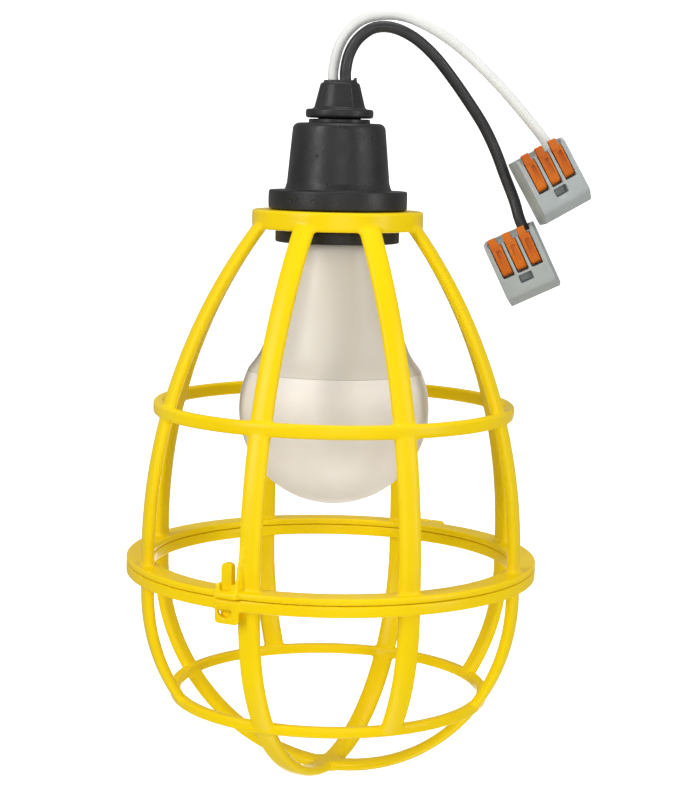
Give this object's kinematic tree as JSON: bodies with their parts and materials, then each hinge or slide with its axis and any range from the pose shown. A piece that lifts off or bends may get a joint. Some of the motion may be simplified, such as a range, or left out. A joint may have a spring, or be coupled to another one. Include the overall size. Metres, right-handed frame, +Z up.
{
  "type": "work light",
  "caption": "Hanging caged work light: rubber pigtail lamp socket, drop-open plastic guard, screw-in LED bulb and lever splice connectors on its leads",
  "frame": {"origin": "top face of the strain relief, on the lamp's axis", "axes": "+Z up along the lamp's axis, against gravity; the camera of the picture looks along +Y, with +X to its right"},
  "size_m": [0.1437, 0.1302, 0.2421],
  "materials": {
    "rubber": "satin moulded",
    "puck": "matte",
    "brass": "bright",
    "copper": null,
    "cage_yellow": "glossy moulded",
    "steel": "bright",
    "lead_white": "satin vinyl",
    "lead_black": "satin vinyl",
    "base_metal": "bright",
    "base_glass": "gloss",
    "bulb_white": "gloss",
    "board_green": "satin",
    "capacitor": "satin sleeve",
    "board_white": "white-coated aluminium board",
    "diffuser": "frosted",
    "connector_grey": "satin",
    "lever_orange": "satin"
  },
  "bodies": {
    "socket": {"strain_relief": "rubber", "socket_body": "rubber", "insulator_puck": "puck", "centre_contact_spring": "brass", "centre_rivet": "brass", "shell_rivet_wired": "brass", "shell_rivet_plain": "brass", "white_terminal": "copper", "black_terminal": "copper", "screw_shell": "brass", "upper_cage": "cage_yellow", "hinge_pin": "steel", "white_lead": "lead_white", "black_lead": "lead_black", "white_connector_housing": "connector_grey", "white_connector_cover": "connector_grey", "white_connector_busbar": "copper", "white_connector_clamp_1": "steel", "white_connector_clamp_2": "steel", "white_connector_clamp_3": "steel", "white_conductor": "copper", "black_connector_housing": "connector_grey", "black_connector_cover": "connector_grey", "black_connector_busbar": "copper", "black_connector_clamp_1": "steel", "black_connector_clamp_2": "steel", "black_connector_clamp_3": "steel", "black_conductor": "copper"},
    "basket": {"lower_basket": "cage_yellow"},
    "latch": {"latch_lever": "cage_yellow"},
    "bulb_tip": {"bulb_tip_contact": "base_metal"},
    "bulb": {"bulb_screw_base": "base_metal", "bulb_base_insulator": "base_glass", "bulb_housing": "bulb_white", "bulb_driver_board": "board_green", "bulb_capacitor": "capacitor", "bulb_led_board": "board_white", "bulb_diffuser": "diffuser"},
    "white_lever_1": {"white_lever_1": "lever_orange"},
    "white_lever_2": {"white_lever_2": "lever_orange"},
    "white_lever_3": {"white_lever_3": "lever_orange"},
    "black_lever_1": {"black_lever_1": "lever_orange"},
    "black_lever_2": {"black_lever_2": "lever_orange"},
    "black_lever_3": {"black_lever_3": "lever_orange"}
  },
  "joints": [
    {"name": "basket_hinge", "type": "hinge", "parent": "socket", "child": "basket", "pos_m": [0.03174, 0.05969, -0.15055], "axis": [0.8829, -0.4695, 0], "range_deg": [0, 120]},
    {"name": "latch_press", "type": "hinge", "parent": "socket", "child": "latch", "pos_m": [-0.02958, -0.05517, -0.1474], "axis": [0.8813, -0.4726, 0], "range_deg": [0, 10], "stiffness_Nm_per_rad": 0.05},
    {"name": "bulb_travel", "type": "slide", "parent": "socket", "child": "bulb_tip", "axis": [0, 0, -1], "range_m": [0, 0.0127]},
    {"name": "bulb_turn", "type": "hinge", "parent": "bulb_tip", "child": "bulb", "pos_m": [0, 0, -0.1], "axis": [0, 0, -1], "range_deg": [0, 1259.8]},
    {"name": "white_lever_1_lift", "type": "hinge", "parent": "socket", "child": "white_lever_1", "pos_m": [0.06213, -0.00814, -0.03057], "axis": [0.8571, 0.1736, 0.4849], "range_deg": [0, 80]},
    {"name": "white_lever_2_lift", "type": "hinge", "parent": "socket", "child": "white_lever_2", "pos_m": [0.06624, -0.0073, -0.02824], "axis": [0.8571, 0.1736, 0.4849], "range_deg": [0, 80]},
    {"name": "white_lever_3_lift", "type": "hinge", "parent": "socket", "child": "white_lever_3", "pos_m": [0.07036, -0.00647, -0.02592], "axis": [0.8571, 0.1736, 0.4849], "range_deg": [0, 80]},
    {"name": "black_lever_1_lift", "type": "hinge", "parent": "socket", "child": "black_lever_1", "pos_m": [0.05316, -0.00267, -0.05695], "axis": [0.89, -0.1392, 0.4341], "range_deg": [0, 80]},
    {"name": "black_lever_2_lift", "type": "hinge", "parent": "socket", "child": "black_lever_2", "pos_m": [0.05743, -0.00334, -0.05487], "axis": [0.89, -0.1392, 0.4341], "range_deg": [0, 80]},
    {"name": "black_lever_3_lift", "type": "hinge", "parent": "socket", "child": "black_lever_3", "pos_m": [0.0617, -0.00401, -0.05278], "axis": [0.89, -0.1392, 0.4341], "range_deg": [0, 80]}
  ],
  "couplings": [
    {"joint": "bulb_turn", "follows": "bulb_travel", "rad_per_m": 1731.4}
  ]
}
